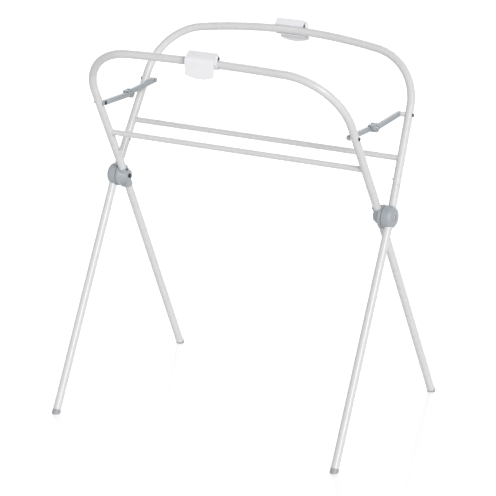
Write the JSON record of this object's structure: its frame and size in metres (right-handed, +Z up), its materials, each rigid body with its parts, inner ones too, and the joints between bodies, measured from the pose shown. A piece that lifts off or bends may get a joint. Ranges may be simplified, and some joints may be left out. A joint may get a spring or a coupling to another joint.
{
  "type": "baby bath stand",
  "caption": "Folding stand for a baby bath: two crossed frames of bent tube joined at side knuckles, with folding braces, crossbars, foot caps and rail clips that hold the bath's rim",
  "frame": {"origin": "on the floor, under the middle of the stand, where all four foot caps stand at Z = 0", "axes": "X runs along the fold axis to the right, Y points from the front rail to the rear rail, Z points up"},
  "size_m": [0.8098, 0.62, 0.9691],
  "materials": {
    "painted_tube": "satin light grey paint",
    "grey_plastic": "matte blue-grey moulded plastic",
    "clip_plastic": "glossy white moulded plastic",
    "white_plastic": "matte white moulded plastic",
    "foot_plastic": "matte pale grey moulded plastic",
    "dark_washer": "black hard plastic",
    "dark_steel": "blackened steel",
    "bright_steel": "plain zinc-plated steel"
  },
  "bodies": {
    "outer_frame": {"outer_loop": "painted_tube", "outer_crossbar": "painted_tube", "outer_leg_left": "painted_tube", "outer_leg_right": "painted_tube", "outer_knuckle_left": "grey_plastic", "outer_knuckle_right": "grey_plastic", "pivot_bolt_left": "bright_steel", "pivot_bolt_right": "bright_steel", "pivot_nut_left": "dark_steel", "pivot_nut_right": "dark_steel", "friction_washer_left": "dark_washer", "friction_washer_right": "dark_washer", "rear_brace_pin_left": "bright_steel", "rear_brace_pin_right": "bright_steel", "rear_spacer_left": "white_plastic", "rear_spacer_right": "white_plastic", "foot_cap_front_left": "foot_plastic", "foot_cap_front_right": "foot_plastic", "outer_button_springs": "bright_steel"},
    "inner_frame": {"inner_loop": "painted_tube", "inner_crossbar": "painted_tube", "inner_leg_left": "painted_tube", "inner_leg_right": "painted_tube", "inner_knuckle_left": "grey_plastic", "inner_knuckle_right": "grey_plastic", "inner_knuckle_screws": "dark_steel", "front_brace_pin_left": "bright_steel", "front_brace_pin_right": "bright_steel", "front_saddle_left": "white_plastic", "front_saddle_right": "white_plastic", "foot_cap_rear_left": "foot_plastic", "foot_cap_rear_right": "foot_plastic", "inner_button_springs": "bright_steel"},
    "front_link_left": {"front_link_left": "grey_plastic", "elbow_rivet_left": "bright_steel"},
    "rear_link_left": {"rear_link_left": "grey_plastic", "rear_pin_cap_left": "bright_steel"},
    "front_link_right": {"front_link_right": "grey_plastic", "elbow_rivet_right": "bright_steel"},
    "rear_link_right": {"rear_link_right": "grey_plastic", "rear_pin_cap_right": "bright_steel"},
    "rail_clip_front": {"rail_clip_front": "clip_plastic"},
    "rail_clip_rear": {"rail_clip_rear": "clip_plastic"},
    "outer_button_left": {"outer_button_left": "bright_steel"},
    "outer_button_right": {"outer_button_right": "bright_steel"},
    "inner_button_left": {"inner_button_left": "bright_steel"},
    "inner_button_right": {"inner_button_right": "bright_steel"}
  },
  "joints": [
    {"name": "fold", "type": "hinge", "parent": "outer_frame", "child": "inner_frame", "pos_m": [0, 0, 0.556], "axis": [-1, 0, 0], "range_deg": [0, 51]},
    {"name": "front_link_left_swing", "type": "hinge", "parent": "inner_frame", "child": "front_link_left", "pos_m": [-0.33914, -0.12821, 0.77987], "axis": [1, 0, 0], "range_deg": [0, 109.1]},
    {"name": "rear_link_left_swing", "type": "hinge", "parent": "front_link_left", "child": "rear_link_left", "pos_m": [-0.33914, 0, 0.77487], "axis": [-1, 0, 0], "range_deg": [0, 167.2]},
    {"name": "front_link_right_swing", "type": "hinge", "parent": "inner_frame", "child": "front_link_right", "pos_m": [0.33914, -0.12821, 0.77987], "axis": [1, 0, 0], "range_deg": [0, 109.1]},
    {"name": "rear_link_right_swing", "type": "hinge", "parent": "front_link_right", "child": "rear_link_right", "pos_m": [0.33914, 0, 0.77487], "axis": [-1, 0, 0], "range_deg": [0, 167.2]},
    {"name": "front_clip_turn", "type": "hinge", "parent": "inner_frame", "child": "rail_clip_front", "pos_m": [0, -0.22066, 0.94129], "axis": [1, 0, 0], "range_deg": [-30, 30]},
    {"name": "rear_clip_turn", "type": "hinge", "parent": "outer_frame", "child": "rail_clip_rear", "pos_m": [0, 0.21569, 0.93261], "axis": [-1, 0, 0], "range_deg": [-30, 30]},
    {"name": "outer_button_left_press", "type": "slide", "parent": "outer_frame", "child": "outer_button_left", "axis": [-1, 0, 0], "range_m": [0, 0.0026], "stiffness_N_per_m": 1500, "springref_m": -0.001},
    {"name": "outer_button_right_press", "type": "slide", "parent": "outer_frame", "child": "outer_button_right", "axis": [1, 0, 0], "range_m": [0, 0.0026], "stiffness_N_per_m": 1500, "springref_m": -0.001},
    {"name": "inner_button_left_press", "type": "slide", "parent": "inner_frame", "child": "inner_button_left", "axis": [-1, 0, 0], "range_m": [0, 0.0026], "stiffness_N_per_m": 1500, "springref_m": -0.001},
    {"name": "inner_button_right_press", "type": "slide", "parent": "inner_frame", "child": "inner_button_right", "axis": [1, 0, 0], "range_m": [0, 0.0026], "stiffness_N_per_m": 1500, "springref_m": -0.001}
  ],
  "couplings": [
    {"joint": "front_link_left_swing", "follows": "fold", "ratio": 2.1385},
    {"joint": "rear_link_left_swing", "follows": "fold", "ratio": 3.277},
    {"joint": "front_link_right_swing", "follows": "fold", "ratio": 2.1385},
    {"joint": "rear_link_right_swing", "follows": "fold", "ratio": 3.277}
  ]
}
